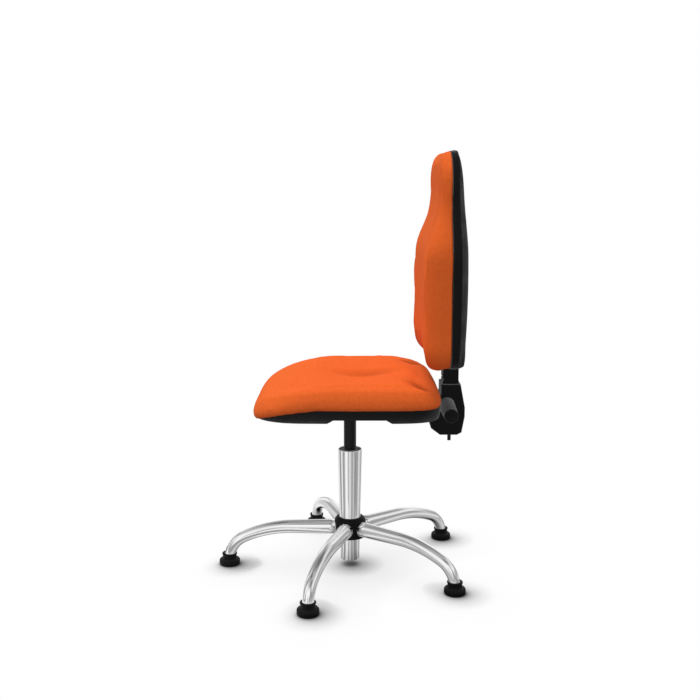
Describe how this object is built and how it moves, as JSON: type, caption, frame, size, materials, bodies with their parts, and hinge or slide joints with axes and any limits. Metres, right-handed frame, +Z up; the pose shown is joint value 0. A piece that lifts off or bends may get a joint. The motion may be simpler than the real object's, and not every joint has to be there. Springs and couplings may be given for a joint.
{
  "type": "swivel office chair",
  "caption": "Armless swivel task chair with an upholstered seat and tall narrow back, a black gas lift in a chromed column and arched chromed tube legs on floor glides.",
  "frame": {"origin": "on the floor, on the swivel axis, in the middle of the ring of glides", "axes": "+Z up along the swivel axis; the chair faces -Y, so +X is the sitter's left"},
  "size_m": [0.5758, 0.556, 0.9341],
  "materials": {
    "orange_fabric": "fine woven cover over foam",
    "black_plastic": "fine moulded grain",
    "inner_plastic": "smooth moulded",
    "chrome": "bright plated",
    "black_steel": "satin black",
    "steel": "plain",
    "brass": "plain",
    "rubber": "matt",
    "plywood": "unsealed"
  },
  "bodies": {
    "base": {"hub_sleeve": "steel", "hub_cover": "black_plastic", "leg_front": "chrome", "leg_left_front": "chrome", "leg_left_rear": "chrome", "leg_right_rear": "chrome", "leg_right_front": "chrome", "glide_front": "black_plastic", "glide_left_front": "black_plastic", "glide_left_rear": "black_plastic", "glide_right_rear": "black_plastic", "glide_right_front": "black_plastic", "glide_stems": "steel", "leg_plugs": "inner_plastic", "column_tube": "chrome", "column_floor": "steel", "guide_bush": "inner_plastic", "bearing_lower_race": "steel", "bearing_balls": "steel", "ball_cage": "brass"},
    "spindle": {"piston_rod": "steel", "rod_clip": "steel", "piston": "inner_plastic", "bump_stop": "rubber", "bearing_upper_race": "steel"},
    "seat": {"gas_cylinder": "black_steel", "rod_seal": "rubber", "cone_socket": "black_steel", "seat_plate": "black_steel", "seat_arm": "black_steel", "lever_pin": "steel", "seat_board": "plywood", "seat_bolts": "steel", "tee_nuts": "steel", "pan_screws": "steel", "seat_cushion": "orange_fabric", "seat_pan": "black_plastic", "pivot_bolt": "steel", "friction_washers": "inner_plastic"},
    "gas_lever": {"lever_rod": "black_steel", "lever_grip": "black_plastic"},
    "release_button": {"release_pin": "steel"},
    "back_arm": {"elbow_bracket": "black_steel", "stop_screw": "black_steel", "back_bar": "black_steel", "elbow_cover_left": "black_plastic", "elbow_cover_right": "black_plastic", "cover_screws": "steel", "bar_cover": "black_plastic"},
    "tilt_knob": {"knob_grip": "black_plastic", "knob_nut": "steel"},
    "backrest": {"back_board": "plywood", "back_cushion": "orange_fabric", "back_shell": "black_plastic", "shell_screws": "steel", "height_guide": "inner_plastic", "guide_screws": "steel", "guide_pad": "rubber"}
  },
  "joints": [
    {"name": "swivel", "type": "hinge", "parent": "base", "child": "spindle", "pos_m": [0, 0, 0], "axis": [0, 0, 1], "continuous": true},
    {"name": "seat_height", "type": "slide", "parent": "spindle", "child": "seat", "axis": [0, 0, 1], "range_m": [-0.06, 0.06]},
    {"name": "height_lever", "type": "hinge", "parent": "seat", "child": "gas_lever", "pos_m": [-0.031, 0, 0.39], "axis": [0, 1, 0], "range_deg": [0, 4.5], "stiffness_Nm_per_rad": 4, "springref_deg": -2.86},
    {"name": "button_press", "type": "slide", "parent": "seat", "child": "release_button", "axis": [0, 0, -1], "range_m": [0, 0.003], "stiffness_N_per_m": 400},
    {"name": "back_tilt", "type": "hinge", "parent": "seat", "child": "back_arm", "pos_m": [0, 0.2135, 0.3844], "axis": [-1, 0, 0], "range_deg": [-4, 18]},
    {"name": "knob_turn", "type": "hinge", "parent": "seat", "child": "tilt_knob", "pos_m": [0, 0.2135, 0.3844], "axis": [1, 0, 0], "range_deg": [-270, 0]},
    {"name": "back_height", "type": "slide", "parent": "back_arm", "child": "backrest", "axis": [0, 0, 1], "range_m": [-0.02, 0.04]}
  ],
  "couplings": [
    {"joint": "button_press", "follows": "height_lever", "m_per_rad": 0.036}
  ]
}
